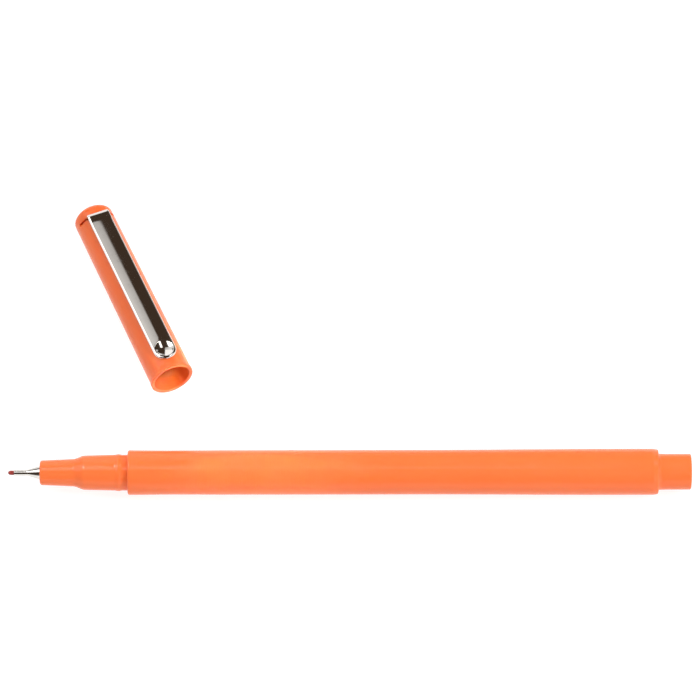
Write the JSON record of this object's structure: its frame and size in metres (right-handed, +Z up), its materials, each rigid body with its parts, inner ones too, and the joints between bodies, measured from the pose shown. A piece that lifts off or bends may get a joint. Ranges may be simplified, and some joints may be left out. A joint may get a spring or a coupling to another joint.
{
  "type": "felt tip marker",
  "caption": "Slim felt tip marker with a steel-sleeved fibre nib, its cap off beside it, and a sprung metal pocket clip on the cap.",
  "frame": {"origin": "on the table, at the middle of the rectangle that the pen and its cap cover", "axes": "+X along the pen from nib to rear plug, +Y from the pen towards the cap's side, +Z up"},
  "size_m": [0.121, 0.0612, 0.0087],
  "materials": {
    "orange_plastic": "satin moulded polypropylene",
    "liner_plastic": "satin moulded polyethylene",
    "clip_chrome": "bright chromed steel",
    "sleeve_steel": "drawn stainless steel",
    "fibre": "ink-soaked fibre",
    "holder_plastic": "natural moulded plastic",
    "reservoir_fibre": "ink-soaked polyester fibre",
    "wrap_film": "thin clear film"
  },
  "bodies": {
    "pen": {"barrel": "orange_plastic", "rear_plug": "orange_plastic", "front_section": "orange_plastic", "nib_sleeve": "sleeve_steel", "nib_holder": "holder_plastic", "fibre_nib": "fibre", "ink_reservoir": "reservoir_fibre", "reservoir_wrap": "wrap_film"},
    "cap": {"cap_shell": "orange_plastic", "cap_liner": "liner_plastic"},
    "clip": {"clip": "clip_chrome"}
  },
  "joints": [
    {"name": "cap_swing", "type": "hinge", "parent": "pen", "child": "cap", "pos_m": [-0.03353, -0.04211, 0.00397], "axis": [0, 0, 1], "range_deg": [0, 246.7]},
    {"name": "clip_flex", "type": "hinge", "parent": "cap", "child": "clip", "pos_m": [-0.04606, 0.02704, 0.00736], "axis": [-0.917, -0.3949, 0.0558], "range_deg": [0, 4], "stiffness_Nm_per_rad": 0.5}
  ]
}
